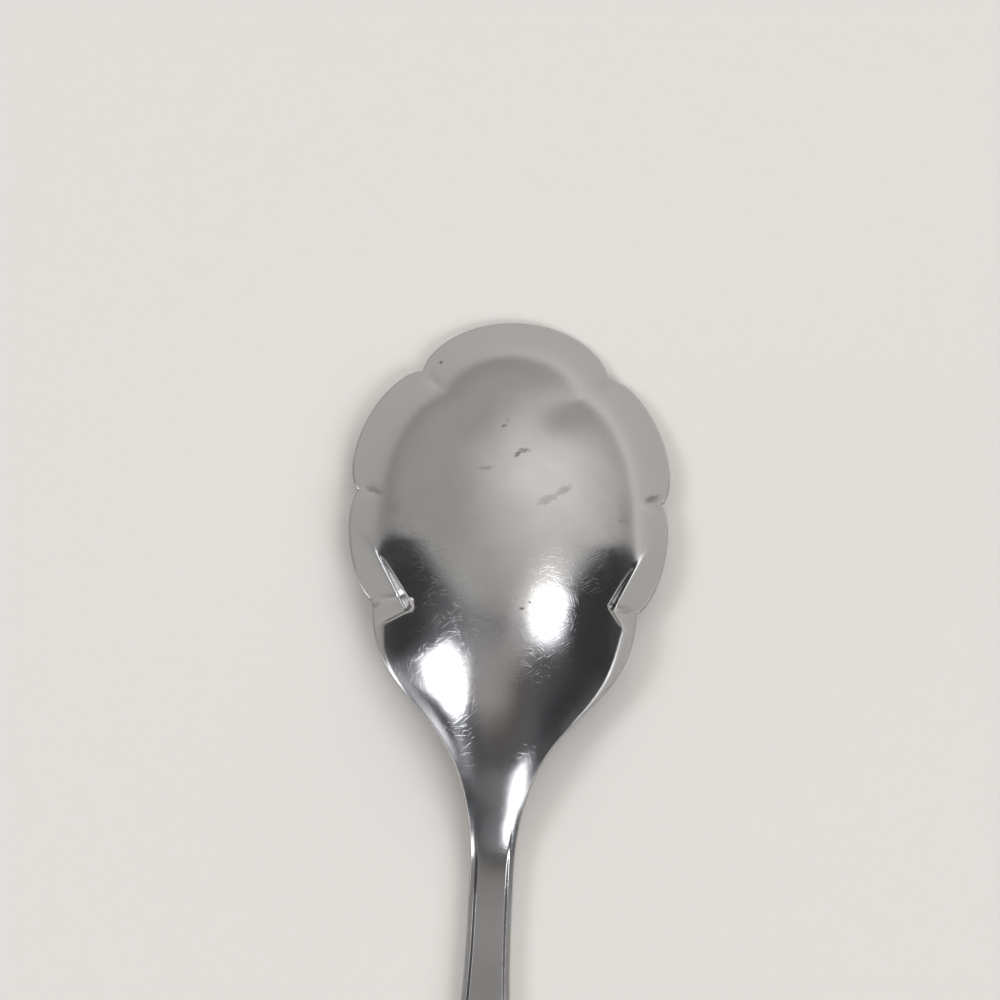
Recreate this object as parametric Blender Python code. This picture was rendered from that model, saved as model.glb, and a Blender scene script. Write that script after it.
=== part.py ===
"""A sugar shell: a stamped steel serving spoon with a scalloped bowl, lying with its back up.

Units are metres. The tip of the bowl points along +Y and the table is at z = 0. Shapes are worked out
from two plan coordinates: x, across the spoon, and s, the distance from the tip of the bowl.
"""

import bmesh
import bpy
import numpy as np

LENGTH = 0.152

# The outline of the bowl: scallops that meet in three cusps on each side.
FIRST_CUSP_HALF_WIDTH = 0.01215
FIRST_CUSP_FROM_TIP = 0.0077
SECOND_CUSP_HALF_WIDTH = 0.0193
SECOND_CUSP_FROM_TIP = 0.02495
THIRD_CUSP_HALF_WIDTH = 0.0166
THIRD_CUSP_FROM_TIP = 0.0397
UPPER_LOBE_BULGE = 0.00355
MIDDLE_LOBE_BULGE = 0.00205
LOWER_LOBE_SHOULDER = 0.0149
NECK_FILLET = 0.0210
LOBE_FULLNESS = 1.2

# The outline of the handle.
NECK_FROM_TIP = 0.062
WAIST_FROM_TIP = 0.0732
WAIST_HALF_WIDTH = 0.0027
FLARE_FROM_TIP = 0.0783
END_HALF_WIDTH = 0.0070
END_ROUND = 0.009

# The bowl in height: a dome above a flat flange that follows the scallops.
RIM_THICKNESS = 0.0012
RIM_ROUND = 0.00035
TIP_LAND = 0.0033
HEEL_LIFT = 0.0050
DOME_HEIGHT = 0.0072
DOME_HALF_WIDTH = 0.0164
DOME_LOWER_REACH = 0.033
APEX_FROM_TIP = 0.0295
HEEL_FROM_TIP = 0.0655
RIDGE_FILLET = 0.0008
NECK_SQUARENESS = 0.6
TIP_FLANGE = 0.0050
LOWER_FLANGE = 0.0012
LOWER_FLANGE_END = 0.055
LOWER_BASE_START = 0.038
LOWER_BASE_FULL = 0.048
FOOT_FILLET = 0.0009
LOWER_FOOT_FILLET = 0.0003

# The foot of the dome dips in behind the second cusp.
DIP_FROM_TIP = 0.0277
DIP_DEPTH = 0.0010
DIP_BEFORE = 0.0065
DIP_PAST = 0.0050

# The notches that the flange cuts into the dome behind the first and the third cusp: where each one points on
# the axis, its reach from the cusp, half its angle in degrees, and the slope and the fillet of its walls.
FIRST_NOTCH_AIM = 0.0184
FIRST_NOTCH_REACH = 0.0042
FIRST_NOTCH_HALF_ANGLE = 70
FIRST_NOTCH_SLOPE = 0.65
FIRST_NOTCH_FILLET = 0.0006
THIRD_NOTCH_AIM = 0.0417
THIRD_NOTCH_REACH = 0.0038
THIRD_NOTCH_HALF_ANGLE = 60
THIRD_NOTCH_SLOPE = 2.2
THIRD_NOTCH_FILLET = 0.0003

# The handle in height: it sinks from the neck to the flat land that it rests on.
NECK_THICKNESS = 0.0024
HANDLE_THICKNESS = 0.0021
REST_FROM_TIP = 0.125
REST_LAND = 0.006
HANDLE_ARCH = 0.0003
NECK_SLOPE = 0.31
KNEE_FROM_TIP = 0.0730
KNEE_ROUND = 0.0010
BLEND_LENGTH = 0.018
NECK_CROWN = 0.0013
BEAD_WIDTH = 0.0006
STEP_WIDTH = 0.0004
PANEL_DEPTH = 0.00028
PANEL_START = 0.065
PANEL_FULL = 0.074

# How finely the surfaces are divided.
LOBE_STEPS = 8
LOWER_LOBE_STEPS = 18
NECK_STEPS = 8
HANDLE_STEPS = 22
END_STEPS = 8
ACROSS_STEPS = 7
BAND_WIDTH = 0.0066
BAND_LINES = (0.25, 0.45, 0.58, 0.70, 0.84, 1)
STEP_LINES = (0, 0.2, 0.4, 0.6, 0.8, 1)
FIRST_CUSP_ANGLE = 41
CURVE_SAMPLES = 400
SHARP_ANGLE = 40
GRADIENT_STEP = 1e-5
MERGE_DISTANCE = 1e-6

STEEL_COLOUR = (0.56, 0.55, 0.54, 1.0)
STEEL_ROUGHNESS = 0.12


def smoothstep(start, end, value):
    t = np.clip((value - start) / (end - start), 0, 1)
    return t * t * (3 - 2 * t)


def softplus(value, radius):
    """The larger of value and 0, with the corner between them rounded."""
    return (value + np.sqrt(value * value + radius * radius)) / 2


def lobe(start, end, bulge, angles):
    """Points of a scallop that bulges from the chord between two cusps, from angle -90 to 90 degrees."""
    chord = (end - start) / 2
    normal = np.array([chord[1], -chord[0]]) / np.hypot(*chord)
    along = np.sin(angles)[:, None]
    out = np.abs(np.cos(angles))[:, None] ** LOBE_FULLNESS
    return (start + end) / 2 + along * chord + bulge * out * normal


TIP_CUSPS = [np.array([side * FIRST_CUSP_HALF_WIDTH, FIRST_CUSP_FROM_TIP]) for side in (-1, 1)]
SECOND_CUSP = np.array([SECOND_CUSP_HALF_WIDTH, SECOND_CUSP_FROM_TIP])
THIRD_CUSP = np.array([THIRD_CUSP_HALF_WIDTH, THIRD_CUSP_FROM_TIP])
LOBES = [
    (TIP_CUSPS[0], TIP_CUSPS[1], FIRST_CUSP_FROM_TIP),
    (TIP_CUSPS[1], SECOND_CUSP, UPPER_LOBE_BULGE),
    (SECOND_CUSP, THIRD_CUSP, MIDDLE_LOBE_BULGE),
]
NOTCHES = [
    (
        (TIP_CUSPS[1], FIRST_NOTCH_AIM, FIRST_NOTCH_REACH, FIRST_NOTCH_HALF_ANGLE),
        FIRST_NOTCH_SLOPE,
        FIRST_NOTCH_FILLET,
    ),
    (
        (THIRD_CUSP, THIRD_NOTCH_AIM, THIRD_NOTCH_REACH, THIRD_NOTCH_HALF_ANGLE),
        THIRD_NOTCH_SLOPE,
        THIRD_NOTCH_FILLET,
    ),
]
END_START = LENGTH - END_ROUND


def half_width(s):
    """Half the spoon's width below the third cusp: the lower lobe, the neck fillet, the stem and its end."""
    t = np.linspace(0, 1, CURVE_SAMPLES)
    lower = (1 - t) ** 3 + 3 * t * (1 - t) ** 2
    lobe_x = lower * THIRD_CUSP_HALF_WIDTH + (1 - lower) * WAIST_HALF_WIDTH
    lobe_s = (
        lower * THIRD_CUSP_FROM_TIP
        + (1 - lower) * WAIST_FROM_TIP
        + 3 * t * (1 - t) ** 2 * LOWER_LOBE_SHOULDER
        - 3 * t * t * (1 - t) * NECK_FILLET
    )
    bowl_side = np.interp(s, lobe_s, lobe_x)
    flare = (END_HALF_WIDTH - WAIST_HALF_WIDTH) * smoothstep(FLARE_FROM_TIP, END_START, s)
    end = np.clip((s - END_START) / END_ROUND, 0, 1)
    return (bowl_side + flare) * np.sqrt(1 - end * end)


def lower_flange(s):
    """Width of the lower scallop's flange, which fades out before the neck."""
    return LOWER_FLANGE * (1 - smoothstep(THIRD_CUSP_FROM_TIP, LOWER_FLANGE_END, s))


def neck_power(s):
    """Power of the sections across: 2 over most of the bowl and more at the neck, which is flatter on top."""
    return 2 + NECK_SQUARENESS * smoothstep(THIRD_CUSP_FROM_TIP, NECK_FROM_TIP, s)


def dome_height(x, s):
    """Height of the smooth dome above the flange: oval near the tip, along the outline near the neck."""
    past_apex = np.maximum(s - APEX_FROM_TIP, 0)
    before_apex = np.maximum(APEX_FROM_TIP - s, 0)
    to_tip = before_apex / (APEX_FROM_TIP - TIP_FLANGE)
    to_heel = past_apex / (HEEL_FROM_TIP - APEX_FROM_TIP)
    ridge = DOME_HEIGHT * (1 - to_tip**2 - to_heel**2)
    oval = DOME_HALF_WIDTH * np.sqrt(np.maximum(1 - (past_apex / DOME_LOWER_REACH) ** 2, 0))
    along_outline = smoothstep(LOWER_BASE_START, LOWER_BASE_FULL, s)
    base = oval + (half_width(s) - lower_flange(s) - oval) * along_outline
    into_dip = smoothstep(DIP_FROM_TIP - DIP_BEFORE, DIP_FROM_TIP, s)
    base = base - DIP_DEPTH * into_dip * (1 - smoothstep(DIP_FROM_TIP, DIP_FROM_TIP + DIP_PAST, s))
    crown = softplus(np.where(s < APEX_FROM_TIP, DOME_HEIGHT, ridge), RIDGE_FILLET)
    return ridge - crown * np.abs(x / base.clip(WAIST_HALF_WIDTH)) ** neck_power(s)


def notch_distance(x, s, cusp, aim, reach, half_angle):
    """Distance from the V-shaped notch that the flange cuts into the dome behind a cusp, negative inside it.

    The notch points from its cusp to the place on the spoon's axis that lies aim from the tip.
    """
    inward = np.array([0, aim]) - cusp
    inward = inward / np.hypot(*inward)
    from_tip_x, from_tip_s = x - cusp[0] - reach * inward[0], s - cusp[1] - reach * inward[1]
    along = from_tip_x * inward[0] + from_tip_s * inward[1]
    across = np.abs(from_tip_x * inward[1] - from_tip_s * inward[0])
    sine, cosine = np.sin(np.radians(half_angle)), np.cos(np.radians(half_angle))
    from_side = across * cosine + along * sine
    return np.where(along * cosine > across * sine, np.hypot(along, across), from_side)


def rim_height(s):
    """Height of the flange's back, which climbs to the neck. At the tip's land its front lies on the table."""
    return RIM_THICKNESS + HEEL_LIFT * (s - TIP_LAND) / NECK_FROM_TIP


def bowl_back(x, s):
    """Height of the bowl's back: the flange and the notched dome above it."""
    dome = dome_height(x, s)
    for notch, slope, fillet in NOTCHES:
        wall = slope * notch_distance(np.abs(x), s, *notch)
        dome = dome - softplus(dome - wall, fillet)
    narrowing = smoothstep(APEX_FROM_TIP, THIRD_CUSP_FROM_TIP, s)
    foot_fillet = FOOT_FILLET + (LOWER_FOOT_FILLET - FOOT_FILLET) * narrowing
    return rim_height(s) + softplus(dome, foot_fillet)


def handle_under(s):
    """Height of the handle's front, which faces down: it drops from the neck and arches to its flat land."""
    drop = NECK_SLOPE * (KNEE_FROM_TIP - s)
    rounded = (drop + KNEE_ROUND) ** 2 / (4 * KNEE_ROUND)
    knee = np.where(np.abs(drop) < KNEE_ROUND, rounded, np.maximum(drop, 0))
    arch = np.maximum((s - REST_FROM_TIP) ** 2 - (REST_LAND / 2) ** 2, 0)
    return knee + HANDLE_ARCH * arch / (REST_FROM_TIP - NECK_FROM_TIP) ** 2


def thickness(s):
    neck = smoothstep(NECK_FROM_TIP - BLEND_LENGTH, NECK_FROM_TIP, s)
    handle = smoothstep(NECK_FROM_TIP, REST_FROM_TIP, s)
    bowl_part = RIM_THICKNESS + (NECK_THICKNESS - RIM_THICKNESS) * neck
    return bowl_part + (HANDLE_THICKNESS - NECK_THICKNESS) * handle


def surfaces(x, s, from_edge):
    """Heights of the back and of the front at points that lie from_edge inside the outline."""
    into_handle = smoothstep(NECK_FROM_TIP - BLEND_LENGTH / 2, NECK_FROM_TIP + BLEND_LENGTH / 2, s)
    step = GRADIENT_STEP
    slope_x = (bowl_back(x + step, s) - bowl_back(x - step, s)) / (2 * step)
    slope_s = (bowl_back(x, s + step) - bowl_back(x, s - step)) / (2 * step)
    bowl_top = bowl_back(x, s)
    dome_under = bowl_top - thickness(s) * np.sqrt(1 + slope_x**2 + slope_s**2)
    bowl_under = np.maximum(dome_under, rim_height(s) - thickness(s))
    panel = smoothstep(PANEL_START, PANEL_FULL, s)
    recess = PANEL_DEPTH * smoothstep(BEAD_WIDTH, BEAD_WIDTH + STEP_WIDTH, from_edge) * panel
    crown = NECK_CROWN * (np.abs(x) / half_width(s).clip(WAIST_HALF_WIDTH)) ** neck_power(s) * (1 - panel)
    handle_top = handle_under(s) + thickness(s) - recess - crown
    back = bowl_top + (handle_top - bowl_top) * into_handle
    front = bowl_under + (handle_under(s) - bowl_under) * into_handle
    return back, np.maximum(front, 0)


def ring_offsets(s):
    """Distances from the outline, from the rim inwards, of the lines that follow it."""
    band = np.array([RIM_ROUND, *(BAND_WIDTH * share for share in BAND_LINES)])
    rail = np.array([RIM_ROUND, *(BEAD_WIDTH + STEP_WIDTH * share for share in STEP_LINES)])
    into_rail = smoothstep(SECOND_CUSP_FROM_TIP, NECK_FROM_TIP, s)[:, None]
    return band + (rail - band) * into_rail


def bowl_outline():
    """Outline points from the tip to the neck, and the innermost point of the rim's band beside each."""
    half_turn = np.radians(np.linspace(-90, 90, 2 * LOBE_STEPS + 1))
    tip = lobe(*LOBES[0], half_turn[LOBE_STEPS:])
    upper, middle = [lobe(*ends, half_turn)[1:] for ends in LOBES[1:]]
    lower_s = np.linspace(THIRD_CUSP_FROM_TIP, NECK_FROM_TIP, LOWER_LOBE_STEPS + 1)[1:]
    lower = np.column_stack([half_width(lower_s), lower_s])

    tip_end = FIRST_CUSP_FROM_TIP + BAND_WIDTH * np.sin(np.radians(FIRST_CUSP_ANGLE))
    tip_s = np.linspace(BAND_WIDTH, tip_end, len(tip))
    upper_s = np.linspace(tip_end, SECOND_CUSP_FROM_TIP, len(upper) + 1)[1:]
    middle_s = np.linspace(SECOND_CUSP_FROM_TIP, THIRD_CUSP_FROM_TIP, len(middle) + 1)[1:]
    drawn_in = 1 - BAND_WIDTH / SECOND_CUSP_HALF_WIDTH
    inner = np.vstack([
        np.column_stack([drawn_in * tip[:, 0], tip_s]),
        np.column_stack([drawn_in * upper[:, 0], upper_s]),
        np.column_stack([middle[:, 0] - ring_offsets(middle_s)[:, -1], middle_s]),
        np.column_stack([lower[:, 0] - ring_offsets(lower_s)[:, -1], lower_s]),
    ])
    return np.vstack([tip, upper, middle, lower]), inner


def handle_outline():
    """Outline points from the neck to the handle's end, and the innermost point of the rails beside each."""
    land = [REST_FROM_TIP - REST_LAND / 2, REST_FROM_TIP + REST_LAND / 2]
    stem = np.unique(np.concatenate([
        np.linspace(NECK_FROM_TIP, WAIST_FROM_TIP, NECK_STEPS + 1),
        np.linspace(WAIST_FROM_TIP, END_START, HANDLE_STEPS + 1),
        land,
    ]))
    turn = np.linspace(0, np.pi / 2, END_STEPS + 1)[1:]
    side = np.column_stack([half_width(stem), stem])
    end = np.column_stack([END_HALF_WIDTH * np.cos(turn), END_START + END_ROUND * np.sin(turn)])
    rail = ring_offsets(stem)[:, -1]
    inward = np.column_stack([np.cos(turn), np.sin(turn)]) * rail[-1]
    inner = np.vstack([side - np.column_stack([rail, np.zeros(len(rail))]), end - inward])
    return np.vstack([side, end]), inner


def section_rows(outline, inner):
    """Each row runs over the right half of a section: from the axis on the back, round the rim, to the axis.

    The points are in the spoon's own frame, with y = -s.
    """
    offsets = ring_offsets(outline[:, 1])[:, ::-1]
    rings = outline[:, None, :] + (inner - outline)[:, None, :] * (offsets / offsets[:, :1])[:, :, None]
    across_x = inner[:, :1] * np.linspace(0, 1, ACROSS_STEPS, endpoint=False)
    across_s = np.repeat(inner[:, 1:], ACROSS_STEPS, axis=1)
    x = np.hstack([across_x, rings[:, :, 0]])
    s = np.hstack([across_s, rings[:, :, 1]])
    from_edge = np.hstack([offsets[:, :1] + inner[:, :1] - across_x, offsets])
    back, front = surfaces(x, s, from_edge)
    edge_back, edge_front = surfaces(outline[:, 0], outline[:, 1], np.zeros(len(outline)))
    edge = np.column_stack([outline[:, 0], -outline[:, 1], (edge_back + edge_front) / 2])
    back_points = np.dstack([x, -s, back])
    front_points = np.dstack([x, -s, front])[:, ::-1]
    return np.concatenate([back_points, edge[:, None, :], front_points], axis=1)


def add_half_shell(name, rows, neck_row, steel):
    """A mesh object lofted through half sections, closed at the neck and mirrored across the spoon's axis."""
    mesh = bpy.data.meshes.new(name)
    work = bmesh.new()
    grid = [[work.verts.new(point) for point in row] for row in rows]
    for row, following in zip(grid, grid[1:]):
        for column in range(len(row) - 1):
            work.faces.new((row[column], following[column], following[column + 1], row[column + 1]))
    cap = grid[neck_row]
    work.faces.new(cap if neck_row == 0 else cap[::-1])
    bmesh.ops.remove_doubles(work, verts=work.verts, dist=MERGE_DISTANCE)
    work.to_mesh(mesh)
    work.free()
    mesh.shade_smooth()
    mesh.set_sharp_from_angle(angle=np.radians(SHARP_ANGLE))
    mesh.materials.append(steel)
    shell = bpy.data.objects.new(name, mesh)
    shell.location.y = LENGTH / 2
    mirror = shell.modifiers.new("both_sides", "MIRROR")
    mirror.merge_threshold = MERGE_DISTANCE
    bpy.context.scene.collection.objects.link(shell)
    return shell


def polished_steel():
    steel = bpy.data.materials.new("polished_steel")
    steel.use_nodes = True
    shader = steel.node_tree.nodes["Principled BSDF"]
    shader.inputs["Base Color"].default_value = STEEL_COLOUR
    shader.inputs["Metallic"].default_value = 1.0
    shader.inputs["Roughness"].default_value = STEEL_ROUGHNESS
    return steel


def main():
    for old in list(bpy.data.objects):
        bpy.data.objects.remove(old)
    steel = polished_steel()
    add_half_shell("bowl", section_rows(*bowl_outline()), -1, steel)
    add_half_shell("handle", section_rows(*handle_outline()), 0, steel)


main()
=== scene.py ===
"""The looks of the sugar shell: one polished steel skin over the bowl and the handle, on a pale table.

Units are metres. Shapes are worked out from two plan coordinates: x, across the spoon, and s, the distance
from the tip of the bowl, which points along +Y. The table is at z = 0 and the spoon lies with its back up.
"""

import math
from collections import namedtuple

import bmesh
import bpy
import numpy as np
from mathutils import Matrix, Vector


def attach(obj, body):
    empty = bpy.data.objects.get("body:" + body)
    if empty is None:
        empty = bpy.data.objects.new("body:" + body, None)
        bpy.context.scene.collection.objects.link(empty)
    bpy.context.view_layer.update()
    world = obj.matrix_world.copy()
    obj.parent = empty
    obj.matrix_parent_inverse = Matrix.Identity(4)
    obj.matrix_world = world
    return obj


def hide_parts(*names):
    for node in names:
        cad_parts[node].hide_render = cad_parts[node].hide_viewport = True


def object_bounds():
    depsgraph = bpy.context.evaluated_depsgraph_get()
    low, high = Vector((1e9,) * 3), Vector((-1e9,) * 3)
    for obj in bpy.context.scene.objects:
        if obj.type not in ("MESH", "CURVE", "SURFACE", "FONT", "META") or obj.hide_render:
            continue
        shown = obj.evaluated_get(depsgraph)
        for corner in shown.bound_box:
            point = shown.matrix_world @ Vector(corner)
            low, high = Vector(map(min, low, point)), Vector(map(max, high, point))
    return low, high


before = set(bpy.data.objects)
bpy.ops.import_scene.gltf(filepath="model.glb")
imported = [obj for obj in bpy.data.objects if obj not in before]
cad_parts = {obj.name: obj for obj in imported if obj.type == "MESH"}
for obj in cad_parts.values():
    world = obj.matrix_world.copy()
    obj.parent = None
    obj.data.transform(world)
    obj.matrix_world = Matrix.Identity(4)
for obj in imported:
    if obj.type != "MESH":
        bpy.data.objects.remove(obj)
CAD_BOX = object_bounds()
LENGTH = CAD_BOX[1].y - CAD_BOX[0].y

# The outline of the bowl: scallops that meet in three cusps on each side.
FIRST_CUSP_HALF_WIDTH = 0.01215
FIRST_CUSP_FROM_TIP = 0.0077
SECOND_CUSP_HALF_WIDTH = 0.0193
SECOND_CUSP_FROM_TIP = 0.02495
THIRD_CUSP_HALF_WIDTH = 0.0166
THIRD_CUSP_FROM_TIP = 0.0397
UPPER_LOBE_BULGE = 0.00355
MIDDLE_LOBE_BULGE = 0.00205
LOWER_LOBE_SHOULDER = 0.0149
NECK_FILLET = 0.0210
LOBE_FULLNESS = 1.2

# The outline of the handle.
NECK_FROM_TIP = 0.062
WAIST_FROM_TIP = 0.0732
WAIST_HALF_WIDTH = 0.0027
FLARE_FROM_TIP = 0.0783
END_HALF_WIDTH = 0.0070
END_ROUND = 0.009
END_START = LENGTH - END_ROUND

# The bowl in height: a dome above a flat flange that follows the scallops. The dome's side dips in at the
# second cusp, and the creases run across the flange between the scallops.
RIM_THICKNESS = 0.0012
RIM_ROUND = 0.00020
TIP_LAND = 0.0033
HEEL_LIFT = 0.0050
DOME_HEIGHT = 0.0072
DOME_HALF_WIDTH = 0.0164
DOME_LOWER_REACH = 0.033
APEX_FROM_TIP = 0.0295
HEEL_FROM_TIP = 0.0655
RIDGE_FILLET = 0.0008
NECK_SQUARENESS = 0.6
SQUARE_FROM_TIP = 0.048
TIP_FLANGE = 0.0050
FOOT_FILLET = 0.0008
LOWER_FOOT_FILLET = 0.0003
DIP_FROM_TIP = 0.0277
DIP_DEPTH = 0.0003
DIP_BEFORE = 0.0090
DIP_PAST = 0.0050
FIRST_NOTCH_FILLET = 0.0008
THIRD_NOTCH_FILLET = 0.0005
CREASE_DEPTH = 0.00006
CREASE_WIDTH = 0.0006
CREASE_START = 0.0020
CREASE_FADE = 0.0015
LOWER_BASE_START = 0.038
LOWER_BASE_FULL = 0.048

# The V-shaped notches that the flange cuts into the dome: the V's apex, the degrees between its arms and
# the x axis, towards the tip and towards the neck, and the slope of the dome's wall along them.
Notch = namedtuple("Notch", "apex_x apex_s upper_angle lower_angle slope")
FIRST_NOTCH = Notch(0.0090, 0.0105, 111, 29, 0.65)

# Below the third cusp the stamping isn't quite even: each side has its own lower flange and notch there.
Side = namedtuple("Side", "sign flange flange_end third_notch")
SIDES = [
    Side(-1, 0.0012, 0.053, Notch(0.0123, 0.0410, 62, 31, 4.0)),
    Side(1, 0.0021, 0.060, Notch(0.0135, 0.0396, 66, 58, 4.0)),
]

# The handle in height: it sinks from the neck to the flat land that it rests on.
NECK_THICKNESS = 0.0024
HANDLE_THICKNESS = 0.0021
REST_FROM_TIP = 0.125
REST_LAND = 0.006
HANDLE_ARCH = 0.0003
NECK_SLOPE = 0.31
KNEE_FROM_TIP = 0.0730
KNEE_ROUND = 0.0010
BLEND_LENGTH = 0.018
NECK_CROWN = 0.0013
BEAD_WIDTH = 0.0006
STEP_WIDTH = 0.0004
PANEL_DEPTH = 0.00028
PANEL_START = 0.065
PANEL_FULL = 0.074

# How finely the skin is divided. The front has only each fourth line of the back, so FRONT_STRIDE divides
# ACROSS_STEPS + BAND_STEPS.
LOBE_STEPS = 44
LOWER_LOBE_STEPS = 120
NECK_STEPS = 24
HANDLE_STEPS = 50
END_STEPS = 16
ACROSS_STEPS = 20
BAND_WIDTH = 0.0066
BAND_STEPS = 60
FRONT_STRIDE = 4
RIM_STEPS = 4
FIRST_CUSP_ANGLE = 41
CURVE_SAMPLES = 400
GRADIENT_STEP = 1e-5
MERGE_DISTANCE = 1e-6

# The camera, in the photograph's square frame of 1000 pixels.
IMAGE_SIZE = 1000
SENSOR_WIDTH = 36
FOCAL_PIXELS = 2356
IMAGE_CENTRE = (509.23, 512.50)
VIEW_ELEVATION = math.radians(72)
VIEW_ROLL = math.radians(2.8)
VIEW_DISTANCE = 0.300
TARGET_FROM_TIP = 0.027
TARGET_HEIGHT = 0.003
VIEW_TARGET = Vector((0, LENGTH / 2 - TARGET_FROM_TIP, TARGET_HEIGHT))

# The lamps and the glow around them, as ovals on the flat map of the sky: place, reach along and across,
# turn in degrees, the share of the reach that is full, and level.
LAMPS = [
    ((-0.423, -0.111), (0.270, 0.060), 26, 0.3, 6.0),
    ((-0.418, -0.055), (0.172, 0.116), 26, 0.3, 6.0),
    ((-0.45, -0.060), (0.42, 0.24), 30, 0.2, 0.16),
    ((0.313, 0.086), (0.200, 0.060), 4, 0.1, 4.5),
    ((0.25, 0.09), (0.32, 0.10), 15, 0.3, 0.45),
    ((0.36, -0.42), (0.24, 0.15), 0, 0.85, 6.0),
    ((-0.88, -0.25), (0.16, 0.28), 0, 0.5, 2.5),
]

# The room, as ovals on the same map: pale beyond the tip, past an edge that bows, and dim on the handle's
# side, with a ceiling and a doorway there.
PALE_EDGE = (0.025, 0.095)
PALE_EDGE_BOW = -0.50
PALE_SPOT = ((0.25, 0.42), (0.70, 0.45), 0, 0.1, 0.50)
PALE_LEVEL = 0.48
DIM_SPOT = ((0.05, -0.10), (0.60, 0.34), 0, 0.3, 0.08)
DIM_LEVEL = 0.05
CEILING = ((-0.10, -0.03), (0.30, 0.18), 0, 0.1, 0.30)
DOORWAY = ((0.0, -0.50), (0.50, 0.24), 0, 0.8, 0.20)
LOWEST_SKY = -0.5

# The tints of the room: beyond the tip, on the handle's side and, in an oval of its own, overhead.
PALE_SIDE = (1.01, 1.0, 0.985, 1)
COOL_SIDE = (0.96, 0.99, 1.06, 1)
BROWN_CEILING = (1.05, 0.98, 0.97, 1)
BROWN_SPOT = ((0.05, -0.10), (0.45, 0.25), 0, 0.2, 1.0)

# The steel: a haze, fine scratches, a film, a duller flange, dark stains and painted shade in the creases at
# the
# # cusps and notches. Each layer of scratches has its turn in degrees, the size of its grains across and
# along,
# # and the noise at which it starts.
STEEL_COLOUR = (0.57, 0.56, 0.55, 1)
STEEL_ROUGHNESS = 0.08
HAZE = 0.4
HAZE_ROUGHNESS = 0.36
SCRATCHES = [
    (15, (0.00018, 0.0030, 1), 0.58),
    (52, (0.00016, 0.0022, 1), 0.60),
    (88, (0.00018, 0.0028, 1), 0.59),
    (127, (0.00016, 0.0032, 1), 0.59),
    (163, (0.00018, 0.0022, 1), 0.59),
]
SCRATCH_EDGE = 0.15
SCRATCH_DEPTH = 0.0000025
FILM_GRAIN = (0.006, 0.006, 0.006)
FILM_DETAIL = 4.0
FILM_RANGE = (0.35, 0.65)
FILM_COLOUR = (0.54, 0.53, 0.52, 1)
FILM_ROUGHNESS = 0.06
DULL_COLOUR = (0.46, 0.45, 0.44, 1)
DULL_ROUGHNESS = 0.12
DULL_HEIGHT = 0.0024
STAIN_AND_SHADE_GRAIN = (0.0005, 0.0005, 0.0005)
STAIN_AND_SHADE_WOBBLE = 0.0009
STAIN_AND_SHADE_CORE = 0.3
# Dark colour of both the stains and the painted shade in the creases.
STAIN_AND_SHADE_COLOUR = (0.14, 0.13, 0.12, 1)
STAIN_AND_SHADE_ROUGHNESS = 0.30

# The dark spots on the bowl's back: stains, and painted shade in the creases at the cusps and notches. Each
# has
# # x, s, reach along and across, turn in degrees and strength.
STAINS_AND_CREASE_SHADE = [
    (0.0007, 0.0211, (0.0008, 0.00045), 45, 0.75),
    (0.0015, 0.0205, (0.0010, 0.00045), 0, 0.60),
    (-0.0031, 0.0233, (0.0014, 0.00035), 5, 0.30),
    (0.0047, 0.0272, (0.0021, 0.00070), 32, 0.34),
    (0.0066, 0.0257, (0.0019, 0.00065), 40, 0.36),
    (-0.0012, 0.0170, (0.0004, 0.00030), 20, 0.70),
    (-0.0007, 0.0160, (0.0005, 0.00030), 40, 0.30),
    (0.0021, 0.0416, (0.0004, 0.00035), 40, 0.90),
    (0.0014, 0.0406, (0.0002, 0.00020), 0, 0.70),
    (0.0030, 0.0407, (0.0002, 0.00020), 0, 0.70),
    (-0.0036, 0.0431, (0.0004, 0.00025), 120, 0.80),
    (-0.0053, 0.0429, (0.0004, 0.00020), 150, 0.60),
    # The last five are painted shade in the creases at the second cusps, the left first cusp and the third
    # notches.
    (-0.0174, 0.0249, (0.0016, 0.00050), 160, 0.50),
    (0.0182, 0.0242, (0.0014, 0.00060), 30, 0.60),
    (-0.0099, 0.0063, (0.0003, 0.00030), 0, 0.80),
    (-0.0161, 0.0404, (0.0010, 0.00050), 20, 0.35),
    (0.0150, 0.0397, (0.0013, 0.00035), 5, 0.35),
]

FLOOR_SIZE = 12.0
FLOOR_ROUGHNESS = 0.6
FLOOR_COLOUR = (0.905, 0.858, 0.790, 1)


def smoothstep(start, end, value):
    t = np.clip((value - start) / (end - start), 0, 1)
    return t * t * (3 - 2 * t)


def softplus(value, radius):
    """The larger of value and 0, with the corner between them rounded."""
    return (value + np.sqrt(value * value + radius * radius)) / 2


def lobe(start, end, bulge, angles):
    """Points of a scallop that bulges from the chord between two cusps, from angle -90 to 90 degrees."""
    chord = (end - start) / 2
    normal = np.array([chord[1], -chord[0]]) / np.hypot(*chord)
    along = np.sin(angles)[:, None]
    out = np.abs(np.cos(angles))[:, None] ** LOBE_FULLNESS
    return (start + end) / 2 + along * chord + bulge * out * normal


def lobe_circle(start, end, bulge):
    """Centre and radius of the circle through two cusps with this bulge between them."""
    chord = (end - start) / 2
    half = np.hypot(*chord)
    radius = (half * half + bulge * bulge) / (2 * bulge)
    normal = np.array([chord[1], -chord[0]]) / half
    return (start + end) / 2 - (radius - bulge) * normal, radius


TIP_CUSPS = [np.array([side * FIRST_CUSP_HALF_WIDTH, FIRST_CUSP_FROM_TIP]) for side in (-1, 1)]
SECOND_CUSP = np.array([SECOND_CUSP_HALF_WIDTH, SECOND_CUSP_FROM_TIP])
THIRD_CUSP = np.array([THIRD_CUSP_HALF_WIDTH, THIRD_CUSP_FROM_TIP])
LOBES = [
    (TIP_CUSPS[0], TIP_CUSPS[1], FIRST_CUSP_FROM_TIP),
    (TIP_CUSPS[1], SECOND_CUSP, UPPER_LOBE_BULGE),
    (SECOND_CUSP, THIRD_CUSP, MIDDLE_LOBE_BULGE),
]


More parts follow.
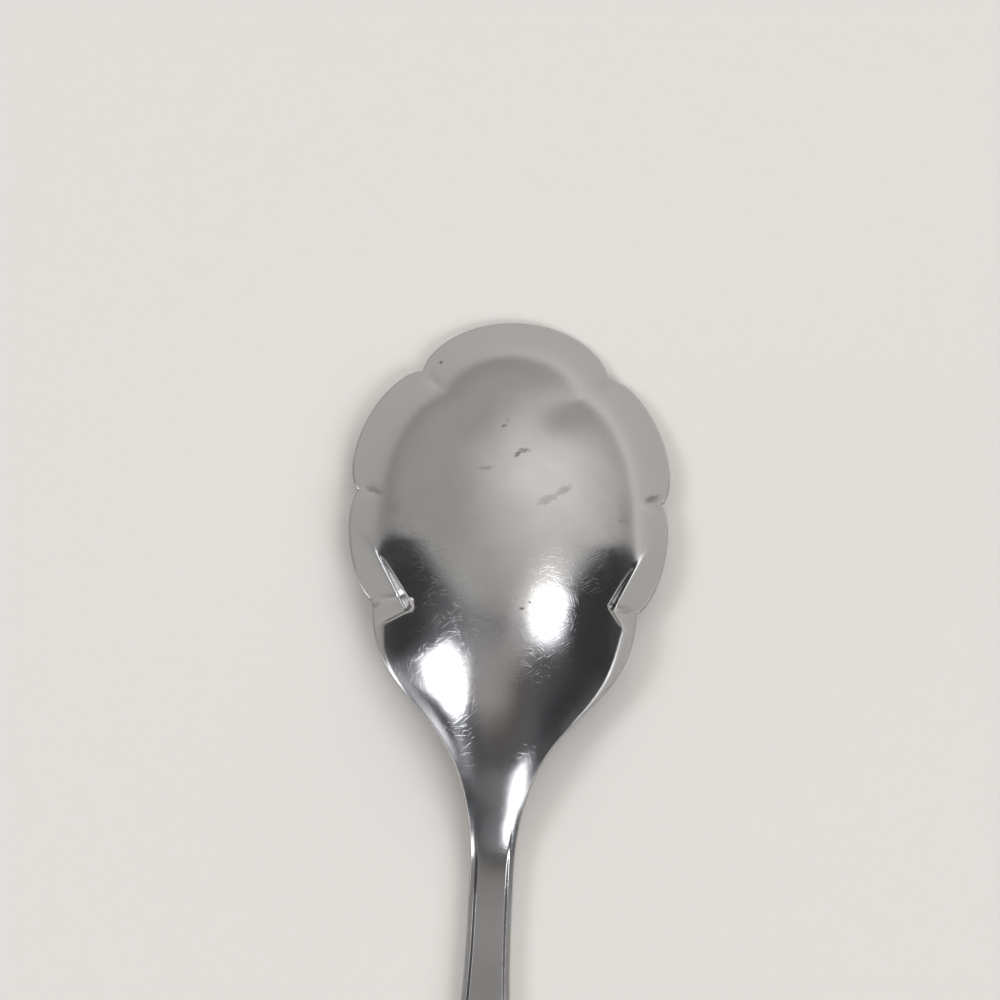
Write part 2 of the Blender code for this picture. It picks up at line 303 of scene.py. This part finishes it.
def half_width(s):
    """Half the spoon's width below the third cusp: the lower lobe, the neck fillet, the stem and its end."""
    t = np.linspace(0, 1, CURVE_SAMPLES)
    lower = (1 - t) ** 3 + 3 * t * (1 - t) ** 2
    lobe_x = lower * THIRD_CUSP_HALF_WIDTH + (1 - lower) * WAIST_HALF_WIDTH
    lobe_s = (
        lower * THIRD_CUSP_FROM_TIP
        + (1 - lower) * WAIST_FROM_TIP
        + 3 * t * (1 - t) ** 2 * LOWER_LOBE_SHOULDER
        - 3 * t * t * (1 - t) * NECK_FILLET
    )
    bowl_side = np.interp(s, lobe_s, lobe_x)
    flare = (END_HALF_WIDTH - WAIST_HALF_WIDTH) * smoothstep(FLARE_FROM_TIP, END_START, s)
    end = np.clip((s - END_START) / END_ROUND, 0, 1)
    return (bowl_side + flare) * np.sqrt(1 - end * end)


def petal_depths(x, s):
    """How deep a point lies inside each scallop: the tip's, the upper, the middle and the lower one."""
    depths = []
    for start, end, bulge in LOBES:
        centre, radius = lobe_circle(start, end, bulge)
        depths.append(radius - np.hypot(x - centre[0], s - centre[1]))
    slope = (half_width(s + GRADIENT_STEP) - half_width(s - GRADIENT_STEP)) / (2 * GRADIENT_STEP)
    lower = (half_width(s) - x) / np.sqrt(1 + slope * slope)
    depths.append(lower - np.maximum(THIRD_CUSP_FROM_TIP - s, 0))
    return np.array(depths)


def softmin(first, second, radius):
    """The smaller of two heights, with the corner between them rounded."""
    return first - softplus(first - second, radius)


def lower_flange(s, side):
    """Width of the lower scallop's flange, which fades out before the neck."""
    return side.flange * (1 - smoothstep(THIRD_CUSP_FROM_TIP, side.flange_end, s))


def notch_height(x, s, notch):
    """Height of the dome's wall around a notch, negative inside it."""
    upper, lower = math.radians(notch.upper_angle), math.radians(notch.lower_angle)
    from_x, from_s = x - notch.apex_x, s - notch.apex_s
    from_upper = -from_x * math.sin(upper) - from_s * math.cos(upper)
    from_lower = -from_x * math.sin(lower) + from_s * math.cos(lower)
    along_upper = from_x * math.cos(upper) - from_s * math.sin(upper)
    along_lower = from_x * math.cos(lower) + from_s * math.sin(lower)
    past_apex = np.maximum(along_upper, along_lower) < 0
    from_arms = np.maximum(from_upper, from_lower)
    return notch.slope * np.where(past_apex, np.hypot(from_x, from_s), from_arms)


def neck_power(s):
    """Power of the sections across: 2 over most of the bowl and more at the neck, which is flatter."""
    return 2 + NECK_SQUARENESS * smoothstep(SQUARE_FROM_TIP, NECK_FROM_TIP, s)


def dome_height(x, s, side):
    """Height of the smooth dome above the flange: oval near the tip, along the outline near the neck."""
    past_apex = np.maximum(s - APEX_FROM_TIP, 0)
    before_apex = np.maximum(APEX_FROM_TIP - s, 0)
    to_tip = before_apex / (APEX_FROM_TIP - TIP_FLANGE)
    to_heel = past_apex / (HEEL_FROM_TIP - APEX_FROM_TIP)
    ridge = DOME_HEIGHT * (1 - (to_tip**2 + to_heel**2))
    oval = DOME_HALF_WIDTH * np.sqrt(np.maximum(1 - (past_apex / DOME_LOWER_REACH) ** 2, 0))
    along_outline = smoothstep(LOWER_BASE_START, LOWER_BASE_FULL, s)
    base = oval + (half_width(s) - lower_flange(s, side) - oval) * along_outline
    into_dip = smoothstep(DIP_FROM_TIP - DIP_BEFORE, DIP_FROM_TIP, s)
    base = base - DIP_DEPTH * into_dip * (1 - smoothstep(DIP_FROM_TIP, DIP_FROM_TIP + DIP_PAST, s))
    crown = softplus(np.where(s < APEX_FROM_TIP, DOME_HEIGHT, ridge), RIDGE_FILLET)
    return ridge - crown * np.abs(x / base.clip(WAIST_HALF_WIDTH)) ** neck_power(s)


def rim_height(s):
    """Height of the flange's back, which climbs to the neck. Under it the tip's land lies on the table."""
    return RIM_THICKNESS + HEEL_LIFT * (s - TIP_LAND) / NECK_FROM_TIP


def bowl_back(x, s, side):
    """Height of the bowl's back: the flange, the notched dome above it and the creases between scallops."""
    dome = dome_height(x, s, side)
    dome = softmin(dome, notch_height(np.abs(x), s, FIRST_NOTCH), FIRST_NOTCH_FILLET)
    dome = softmin(dome, notch_height(np.abs(x), s, side.third_notch), THIRD_NOTCH_FILLET)
    narrowing = smoothstep(APEX_FROM_TIP, THIRD_CUSP_FROM_TIP, s)
    fillet = FOOT_FILLET + (LOWER_FOOT_FILLET - FOOT_FILLET) * narrowing

    depths = np.sort(petal_depths(np.abs(x), s), axis=0)
    between = (depths[-1] - depths[-2]) / CREASE_WIDTH
    on_flange = smoothstep(0, CREASE_START, depths[-1]) * (1 - smoothstep(-CREASE_FADE, 0, dome))
    crease = CREASE_DEPTH * on_flange * np.exp(-between * between)
    return rim_height(s) + softplus(dome, fillet) - crease


def handle_under(s):
    """Height of the handle's front, which faces down: it drops from the neck and arches to its flat land."""
    drop = NECK_SLOPE * (KNEE_FROM_TIP - s)
    rounded = (drop + KNEE_ROUND) ** 2 / (4 * KNEE_ROUND)
    knee = np.where(np.abs(drop) < KNEE_ROUND, rounded, np.maximum(drop, 0))
    arch = np.maximum((s - REST_FROM_TIP) ** 2 - (REST_LAND / 2) ** 2, 0)
    return knee + HANDLE_ARCH * arch / (REST_FROM_TIP - NECK_FROM_TIP) ** 2


def thickness(s):
    """Thickness of the metal, which is greatest at the neck."""
    neck = smoothstep(NECK_FROM_TIP - BLEND_LENGTH, NECK_FROM_TIP, s)
    handle = smoothstep(NECK_FROM_TIP, REST_FROM_TIP, s)
    bowl_part = RIM_THICKNESS + (NECK_THICKNESS - RIM_THICKNESS) * neck
    return bowl_part + (HANDLE_THICKNESS - NECK_THICKNESS) * handle


def surfaces(x, s, from_edge, side):
    """Heights of the back and of the front at points that lie from_edge inside the outline."""
    into_handle = smoothstep(NECK_FROM_TIP - BLEND_LENGTH / 2, NECK_FROM_TIP + BLEND_LENGTH / 2, s)
    step = GRADIENT_STEP
    slope_x = (bowl_back(x + step, s, side) - bowl_back(x - step, s, side)) / (2 * step)
    slope_s = (bowl_back(x, s + step, side) - bowl_back(x, s - step, side)) / (2 * step)
    bowl_top = bowl_back(x, s, side)
    dome_under = bowl_top - thickness(s) * np.sqrt(1 + slope_x**2 + slope_s**2)
    bowl_under = np.maximum(dome_under, rim_height(s) - thickness(s))
    panel = smoothstep(PANEL_START, PANEL_FULL, s)
    recess = PANEL_DEPTH * smoothstep(BEAD_WIDTH, BEAD_WIDTH + STEP_WIDTH, from_edge) * panel
    share = np.abs(x) / half_width(s).clip(WAIST_HALF_WIDTH)
    crown = NECK_CROWN * share ** neck_power(s) * (1 - panel)
    handle_top = handle_under(s) + thickness(s) - recess - crown
    back = bowl_top + (handle_top - bowl_top) * into_handle
    front = bowl_under + (handle_under(s) - bowl_under) * into_handle
    return back, np.maximum(front, 0)


def ring_offsets(s):
    """Distances from the outline, from the rim inwards, of the lines that follow it."""
    shares = np.linspace(0, 1, BAND_STEPS + 1)
    band = RIM_ROUND + (BAND_WIDTH - RIM_ROUND) * shares
    rail = RIM_ROUND + (BEAD_WIDTH + STEP_WIDTH - RIM_ROUND) * shares
    into_rail = smoothstep(SECOND_CUSP_FROM_TIP, NECK_FROM_TIP, s)[:, None]
    return band + (rail - band) * into_rail


def bowl_outline():
    """Outline points from the tip to the neck, and the innermost point of the rim's band beside each."""
    half_turn = np.radians(np.linspace(-90, 90, 2 * LOBE_STEPS + 1))
    tip = lobe(*LOBES[0], half_turn[LOBE_STEPS:])
    upper, middle = [lobe(*ends, half_turn)[1:] for ends in LOBES[1:]]
    lower_s = np.linspace(THIRD_CUSP_FROM_TIP, NECK_FROM_TIP, LOWER_LOBE_STEPS + 1)[1:]
    lower = np.column_stack([half_width(lower_s), lower_s])

    crease_end = FIRST_CUSP_FROM_TIP + BAND_WIDTH * np.sin(np.radians(FIRST_CUSP_ANGLE))
    tip_s = np.linspace(BAND_WIDTH, crease_end, len(tip))
    upper_s = np.linspace(crease_end, SECOND_CUSP_FROM_TIP, len(upper) + 1)[1:]
    middle_s = np.linspace(SECOND_CUSP_FROM_TIP, THIRD_CUSP_FROM_TIP, len(middle) + 1)[1:]
    drawn_in = 1 - BAND_WIDTH / SECOND_CUSP_HALF_WIDTH
    inner = np.vstack([
        np.column_stack([drawn_in * tip[:, 0], tip_s]),
        np.column_stack([drawn_in * upper[:, 0], upper_s]),
        np.column_stack([middle[:, 0] - ring_offsets(middle_s)[:, -1], middle_s]),
        np.column_stack([lower[:, 0] - ring_offsets(lower_s)[:, -1], lower_s]),
    ])
    return np.vstack([tip, upper, middle, lower]), inner


def handle_outline():
    """Outline points past the neck to the handle's end, and the innermost point of the rails beside each."""
    stem = np.concatenate([
        np.linspace(NECK_FROM_TIP, WAIST_FROM_TIP, NECK_STEPS + 1)[1:],
        np.linspace(WAIST_FROM_TIP, END_START, HANDLE_STEPS + 1)[1:],
    ])
    turn = np.linspace(0, np.pi / 2, END_STEPS + 1)[1:]
    side = np.column_stack([half_width(stem), stem])
    end = np.column_stack([END_HALF_WIDTH * np.cos(turn), END_START + END_ROUND * np.sin(turn)])
    rail = ring_offsets(stem)[:, -1]
    inward = np.column_stack([np.cos(turn), np.sin(turn)]) * rail[-1]
    inner = np.vstack([side - np.column_stack([rail, np.zeros(len(rail))]), end - inward])
    return np.vstack([side, end]), inner


def section_rows(outline, inner, side):
    """Each row runs over one half of a section: from the axis on the back, round the rim, to the axis."""
    offsets = ring_offsets(outline[:, 1])[:, ::-1]
    rings = outline[:, None, :] + (inner - outline)[:, None, :] * (offsets / offsets[:, :1])[:, :, None]
    across_x = inner[:, :1] * np.linspace(0, 1, ACROSS_STEPS, endpoint=False)
    across_s = np.repeat(inner[:, 1:], ACROSS_STEPS, axis=1)
    x = np.hstack([across_x, rings[:, :, 0]])
    s = np.hstack([across_s, rings[:, :, 1]])
    from_edge = np.hstack([offsets[:, :1] + inner[:, :1] - across_x, offsets])
    back, front = surfaces(x, s, from_edge, side)
    back_points = np.dstack([x, -s, back])
    front_points = np.dstack([x, -s, front])[:, ::-FRONT_STRIDE]

    angles = np.linspace(0, np.pi, 2 * RIM_STEPS + 1)[1:-1]
    rim_line = rings[:, -1]
    middle = (back[:, -1] + front[:, -1]) / 2
    half_edge = (back[:, -1] - front[:, -1]) / 2
    out = np.sin(angles)[None, :, None]
    rim_plan = rim_line[:, None, :] + (outline - rim_line)[:, None, :] * out
    rim_z = middle[:, None] + half_edge[:, None] * np.cos(angles)
    rim_points = np.dstack([rim_plan[:, :, 0], -rim_plan[:, :, 1], rim_z])
    return np.concatenate([back_points, rim_points, front_points], axis=1) * (side.sign, 1, 1)


def spoon_skin(steel):
    """One closed skin over bowl and handle, lofted through the half sections of both sides."""
    outlines = [np.vstack(parts) for parts in zip(bowl_outline(), handle_outline())]
    work = bmesh.new()
    for side in SIDES:
        grid = [[work.verts.new(point) for point in row] for row in section_rows(*outlines, side)]
        for row, following in zip(grid, grid[1:]):
            for column in range(len(row) - 1):
                corners = (row[column], following[column], following[column + 1], row[column + 1])
                work.faces.new(corners[::side.sign])
    bmesh.ops.remove_doubles(work, verts=work.verts, dist=MERGE_DISTANCE)
    mesh = bpy.data.meshes.new("spoon_skin")
    work.to_mesh(mesh)
    work.free()
    mesh.shade_smooth()
    mesh.materials.append(steel)
    skin = bpy.data.objects.new("spoon_skin", mesh)
    skin.location.y = LENGTH / 2
    bpy.context.scene.collection.objects.link(skin)
    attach(skin, "root")
    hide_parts("bowl", "handle")


def add_math(tree, operation, *operands):
    """A Math node on sockets or numbers. Returns its output."""
    node = tree.nodes.new("ShaderNodeMath")
    node.operation = operation
    for socket, operand in zip(node.inputs, operands):
        if isinstance(operand, bpy.types.NodeSocket):
            tree.links.new(operand, socket)
        else:
            socket.default_value = operand
    return node.outputs[0]


def add_ramp(tree, value, start, end, low=0.0, high=1.0):
    """A smooth step from low to high while value goes from start to end. Returns its output."""
    node = tree.nodes.new("ShaderNodeMapRange")
    node.interpolation_type = "SMOOTHSTEP"
    tree.links.new(value, node.inputs["Value"])
    for name, number in (("From Min", start), ("From Max", end), ("To Min", low), ("To Max", high)):
        node.inputs[name].default_value = number
    return node.outputs[0]


def add_oval(tree, plane, centre, reach, turn, inner, level):
    """A soft oval on a plane: full inside the share inner of its reach along and across, and then fading."""
    right, up = [add_math(tree, "SUBTRACT", axis, middle) for axis, middle in zip(plane, centre)]
    cosine, sine = math.cos(math.radians(turn)), math.sin(math.radians(turn))
    along = add_math(tree, "MULTIPLY_ADD", up, sine, add_math(tree, "MULTIPLY", right, cosine))
    across = add_math(tree, "MULTIPLY_ADD", up, cosine, add_math(tree, "MULTIPLY", right, -sine))
    shares = [add_math(tree, "DIVIDE", distance, size) for distance, size in zip((along, across), reach)]
    squares = [add_math(tree, "MULTIPLY", share, share) for share in shares]
    radius = add_math(tree, "SQRT", add_math(tree, "ADD", *squares))
    return add_ramp(tree, radius, inner, 1.0, level, 0.0)


def add_noise(tree, place, turn, size, detail=2.0):
    """Noise whose grains have this size across and along, turned about z. Returns its two outputs."""
    mapping = tree.nodes.new("ShaderNodeMapping")
    mapping.vector_type = "TEXTURE"
    mapping.inputs["Rotation"].default_value = (0, 0, math.radians(turn))
    mapping.inputs["Scale"].default_value = size
    tree.links.new(place, mapping.inputs["Vector"])
    noise = tree.nodes.new("ShaderNodeTexNoise")
    noise.inputs["Scale"].default_value = 1.0
    noise.inputs["Detail"].default_value = detail
    tree.links.new(mapping.outputs[0], noise.inputs["Vector"])
    return noise.outputs["Fac"], noise.outputs["Color"]


def add_mix(tree, share, first, second):
    """A colour mixed from two colours. Returns its output."""
    node = tree.nodes.new("ShaderNodeMix")
    node.data_type = "RGBA"
    tree.links.new(share, node.inputs["Factor"])
    for socket, colour in ((node.inputs["A"], first), (node.inputs["B"], second)):
        if isinstance(colour, bpy.types.NodeSocket):
            tree.links.new(colour, socket)
        else:
            socket.default_value = colour
    return node.outputs["Result"]


def polished_steel():
    """Mirror steel with fine scratches, an uneven film, a duller flange, dark stains on the bowl's back and
    painted shade in its cusp and notch creases.
    """
    steel = bpy.data.materials.new("polished_steel")
    steel.use_nodes = True
    tree = steel.node_tree
    shader = tree.nodes["Principled BSDF"]
    place = tree.nodes.new("ShaderNodeTexCoord").outputs["Object"]

    scratches = None
    for turn, size, start in SCRATCHES:
        lines = add_ramp(tree, add_noise(tree, place, turn, size)[0], start, start + SCRATCH_EDGE)
        scratches = lines if scratches is None else add_math(tree, "MAXIMUM", scratches, lines)
    bump = tree.nodes.new("ShaderNodeBump")
    bump.invert = True
    bump.inputs["Distance"].default_value = SCRATCH_DEPTH
    tree.links.new(scratches, bump.inputs["Height"])
    tree.links.new(bump.outputs[0], shader.inputs["Normal"])

    wobble = tree.nodes.new("ShaderNodeVectorMath")
    wobble.operation = "MULTIPLY_ADD"
    tree.links.new(add_noise(tree, place, 0, STAIN_AND_SHADE_GRAIN)[1], wobble.inputs[0])
    wobble.inputs[1].default_value = (STAIN_AND_SHADE_WOBBLE, STAIN_AND_SHADE_WOBBLE, 0)
    tree.links.new(place, wobble.inputs[2])
    wobbly_axes = tree.nodes.new("ShaderNodeSeparateXYZ")
    tree.links.new(wobble.outputs[0], wobbly_axes.inputs[0])
    plan = wobbly_axes.outputs[:2]
    # Dark stains, and painted shade in the creases at the cusps and notches.
    stains_and_shade = None
    for x, s, reach, turn, level in STAINS_AND_CREASE_SHADE:
        centre = (x + STAIN_AND_SHADE_WOBBLE / 2, STAIN_AND_SHADE_WOBBLE / 2 - s)
        stain_and_shade_spot = add_oval(tree, plan, centre, reach, turn, STAIN_AND_SHADE_CORE, level)
        stains_and_shade = stain_and_shade_spot if stains_and_shade is None else add_math(tree, "MAXIMUM", stains_and_shade, stain_and_shade_spot)

    film = add_ramp(tree, add_noise(tree, place, 0, FILM_GRAIN, FILM_DETAIL)[0], *FILM_RANGE)

    axes = tree.nodes.new("ShaderNodeSeparateXYZ")
    tree.links.new(place, axes.inputs[0])
    climb = HEEL_LIFT / NECK_FROM_TIP
    above_flange = add_math(tree, "MULTIPLY_ADD", axes.outputs["Y"], climb, axes.outputs["Z"])
    flange_height = RIM_THICKNESS - climb * TIP_LAND
    dull = add_ramp(tree, above_flange, flange_height, flange_height + DULL_HEIGHT, 1.0, 0.0)
    colour = add_mix(tree, dull, add_mix(tree, film, STEEL_COLOUR, FILM_COLOUR), DULL_COLOUR)
    # The stains and the painted crease shade darken the base colour here.
    tree.links.new(add_mix(tree, stains_and_shade, colour, STAIN_AND_SHADE_COLOUR), shader.inputs["Base Color"])
    roughness = add_math(tree, "MULTIPLY_ADD", film, FILM_ROUGHNESS, STEEL_ROUGHNESS)
    roughness = add_math(tree, "MULTIPLY_ADD", dull, DULL_ROUGHNESS, roughness)
    roughness = add_math(tree, "MULTIPLY_ADD", stains_and_shade, STAIN_AND_SHADE_ROUGHNESS, roughness)
    tree.links.new(roughness, shader.inputs["Roughness"])
    shader.inputs["Metallic"].default_value = 1.0
    shader.inputs["Coat Weight"].default_value = HAZE
    shader.inputs["Coat Roughness"].default_value = HAZE_ROUGHNESS
    return steel


def add_floor():
    mesh = bpy.data.meshes.new("floor")
    work = bmesh.new()
    bmesh.ops.create_grid(work, x_segments=1, y_segments=1, size=FLOOR_SIZE / 2)
    work.to_mesh(mesh)
    work.free()
    material = bpy.data.materials.new("pale_table")
    material.use_nodes = True
    shader = material.node_tree.nodes["Principled BSDF"]
    shader.inputs["Base Color"].default_value = FLOOR_COLOUR
    shader.inputs["Roughness"].default_value = FLOOR_ROUGHNESS
    mesh.materials.append(material)
    floor = bpy.data.objects.new("floor", mesh)
    bpy.context.scene.collection.objects.link(floor)


def studio_world():
    """A room that is pale beyond the tip of the bowl and dim on the handle's side, with soft lamps in it.

    Places in it are on a flat map of the sky, with its zenith at (0, 0) and its horizon at radius 1.
    """
    world = bpy.data.worlds.new("studio")
    world.use_nodes = True
    tree = world.node_tree
    coordinates = tree.nodes.new("ShaderNodeTexCoord")
    axes = tree.nodes.new("ShaderNodeSeparateXYZ")
    tree.links.new(coordinates.outputs["Generated"], axes.inputs[0])
    height = add_math(tree, "ADD", add_math(tree, "MAXIMUM", axes.outputs["Z"], LOWEST_SKY), 1.0)
    sky = [add_math(tree, "DIVIDE", axes.outputs[name], height) for name in ("X", "Y")]

    bowed = add_math(tree, "MULTIPLY", sky[0], sky[0])
    edge = add_math(tree, "MULTIPLY_ADD", bowed, PALE_EDGE_BOW, sky[1])
    far_side = add_ramp(tree, edge, *PALE_EDGE)
    pale = add_math(tree, "ADD", add_oval(tree, sky, *PALE_SPOT), PALE_LEVEL)
    level = add_math(tree, "MULTIPLY", far_side, pale)
    near_side = add_math(tree, "ADD", add_oval(tree, sky, *DIM_SPOT), add_oval(tree, sky, *CEILING))
    near_side = add_math(tree, "ADD", near_side, DIM_LEVEL)
    near_side = add_math(tree, "ADD", near_side, add_oval(tree, sky, *DOORWAY))
    level = add_math(tree, "MAXIMUM", level, near_side)
    for spot in LAMPS:
        level = add_math(tree, "ADD", level, add_oval(tree, sky, *spot))
    tint = add_mix(tree, add_oval(tree, sky, *BROWN_SPOT), COOL_SIDE, BROWN_CEILING)
    background = tree.nodes["Background"]
    tree.links.new(add_mix(tree, far_side, tint, PALE_SIDE), background.inputs["Color"])
    tree.links.new(level, background.inputs["Strength"])
    bpy.context.scene.world = world


def add_camera():
    data = bpy.data.cameras.new("camera")
    data.sensor_width = SENSOR_WIDTH
    data.lens = FOCAL_PIXELS / IMAGE_SIZE * SENSOR_WIDTH
    data.shift_x = -(IMAGE_CENTRE[0] / IMAGE_SIZE - 0.5)
    data.shift_y = IMAGE_CENTRE[1] / IMAGE_SIZE - 0.5
    data.clip_start = VIEW_DISTANCE / 100
    camera = bpy.data.objects.new("camera", data)
    back = Vector((0, -math.cos(VIEW_ELEVATION), math.sin(VIEW_ELEVATION)))
    place = Matrix.Translation(VIEW_TARGET + back * VIEW_DISTANCE)
    turn = back.to_track_quat("Z", "Y").to_matrix().to_4x4()
    camera.matrix_world = place @ turn @ Matrix.Rotation(VIEW_ROLL, 4, "Z")
    bpy.context.scene.collection.objects.link(camera)
    bpy.context.scene.camera = camera


def main():
    bpy.context.scene.view_settings.view_transform = "Standard"
    add_camera()
    spoon_skin(polished_steel())
    add_floor()
    studio_world()


main()
